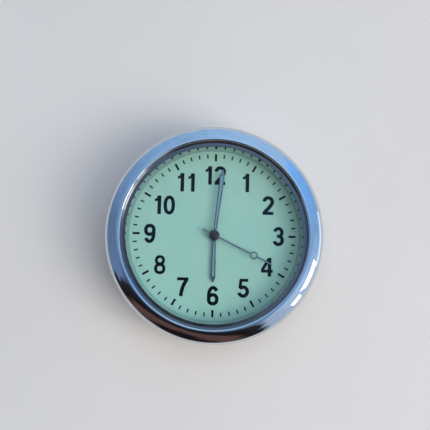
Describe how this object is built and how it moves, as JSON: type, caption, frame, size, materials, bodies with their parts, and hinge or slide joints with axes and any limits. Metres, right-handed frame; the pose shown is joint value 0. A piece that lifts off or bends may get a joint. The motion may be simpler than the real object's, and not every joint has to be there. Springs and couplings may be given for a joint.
{
  "type": "dashboard clock",
  "caption": "Round stick-on analogue clock with a chromed bezel, flat glass, pale luminous dial, quartz movement and an adhesive base that it pulls off for setting.",
  "frame": {"origin": "centre of the adhesive pad's underside", "axes": "+Z out of the dial towards the viewer, +Y to 12 o'clock, +X to 3 o'clock"},
  "size_m": [0.04, 0.04, 0.013],
  "materials": {
    "chrome": "polished",
    "polished_ring": "polished",
    "glass": "polished",
    "gasket_rubber": "matt",
    "dial_paint": "matt luminous paint",
    "hand_metal": "dark plated",
    "hand_lume": "luminous filling",
    "black_plastic": "fine moulded texture",
    "foam_tape": "foam",
    "white_plastic": "moulded",
    "wheel_brass": "satin",
    "bright_steel": "satin",
    "magnet": "sintered",
    "copper_wire": "enamelled wire",
    "board_laminate": "solder mask",
    "chip_resin": "cast resin"
  },
  "bodies": {
    "base": {"adhesive_pad": "foam_tape", "base_cup": "black_plastic"},
    "clock": {"bezel": "chrome", "crystal_gasket": "gasket_rubber", "crystal": "glass", "dial_surround": "polished_ring", "dial": "dial_paint", "movement_ring": "white_plastic", "rear_cover": "black_plastic", "main_plate": "white_plastic", "train_bridge": "wheel_brass", "bridge_screws": "bright_steel", "dial_washer": "wheel_brass", "coil_core": "bright_steel", "coil_winding": "copper_wire", "stator": "bright_steel", "motor_screws": "bright_steel", "circuit_board": "board_laminate", "board_screws": "bright_steel", "chip_cover": "chip_resin", "quartz_can": "bright_steel", "battery": "bright_steel", "positive_strap": "bright_steel", "negative_contact": "bright_steel"},
    "cap": {"battery_cap": "black_plastic"},
    "minutes": {"centre_wheel": "wheel_brass", "cannon_pinion": "bright_steel", "minute_hand": "hand_metal", "minute_hand_inlay": "hand_lume"},
    "hours": {"hour_wheel": "wheel_brass", "hour_hand": "hand_metal", "hour_hand_inlay": "hand_lume"},
    "motion": {"minute_wheel": "wheel_brass"},
    "setting": {"setting_arbor": "bright_steel", "set_knob": "black_plastic"},
    "third": {"third_wheel": "wheel_brass", "third_pinion": "bright_steel"},
    "seconds": {"seconds_wheel": "wheel_brass", "seconds_pinion": "bright_steel", "second_hand": "hand_metal", "second_hand_cap": "hand_metal"},
    "intermediate": {"intermediate_wheel": "wheel_brass", "intermediate_pinion": "bright_steel"},
    "rotor": {"rotor_magnet": "magnet", "rotor_pinion": "bright_steel"}
  },
  "joints": [
    {"name": "clock_pull", "type": "slide", "parent": "base", "child": "clock", "axis": [0, 0, 1], "range_m": [0, 0.014]},
    {"name": "cap_turn", "type": "hinge", "parent": "clock", "child": "cap", "pos_m": [-0.00488, -0.00581, 0.005], "axis": [0, 0, 1], "range_deg": [0, 50]},
    {"name": "minutes_spin", "type": "hinge", "parent": "clock", "child": "minutes", "pos_m": [0, 0, 0.005], "axis": [0, 0, -1], "continuous": true},
    {"name": "hours_spin", "type": "hinge", "parent": "clock", "child": "hours", "pos_m": [0, 0, 0.005], "axis": [0, 0, -1], "continuous": true},
    {"name": "motion_spin", "type": "hinge", "parent": "clock", "child": "motion", "pos_m": [0.00276, -0.00231, 0.005], "axis": [0, 0, -1], "continuous": true},
    {"name": "setting_spin", "type": "hinge", "parent": "clock", "child": "setting", "pos_m": [0.0063, -0.00294, 0.005], "axis": [0, 0, -1], "continuous": true},
    {"name": "third_spin", "type": "hinge", "parent": "clock", "child": "third", "pos_m": [-0.00383, 0.00221, 0.005], "axis": [0, 0, -1], "continuous": true},
    {"name": "seconds_spin", "type": "hinge", "parent": "clock", "child": "seconds", "pos_m": [0, 0, 0.005], "axis": [0, 0, -1], "continuous": true},
    {"name": "intermediate_spin", "type": "hinge", "parent": "clock", "child": "intermediate", "pos_m": [0.00413, 0.00193, 0.005], "axis": [0, 0, -1], "continuous": true},
    {"name": "rotor_spin", "type": "hinge", "parent": "clock", "child": "rotor", "pos_m": [0.00448, 0.00442, 0.005], "axis": [0, 0, -1], "continuous": true}
  ],
  "couplings": [
    {"joint": "hours_spin", "follows": "minutes_spin", "ratio": 0.083333},
    {"joint": "motion_spin", "follows": "minutes_spin", "ratio": -0.33333},
    {"joint": "setting_spin", "follows": "minutes_spin", "ratio": 1},
    {"joint": "third_spin", "follows": "minutes_spin", "ratio": -8},
    {"joint": "seconds_spin", "follows": "minutes_spin", "ratio": 60},
    {"joint": "intermediate_spin", "follows": "minutes_spin", "ratio": -300},
    {"joint": "rotor_spin", "follows": "minutes_spin", "ratio": 1800}
  ]
}
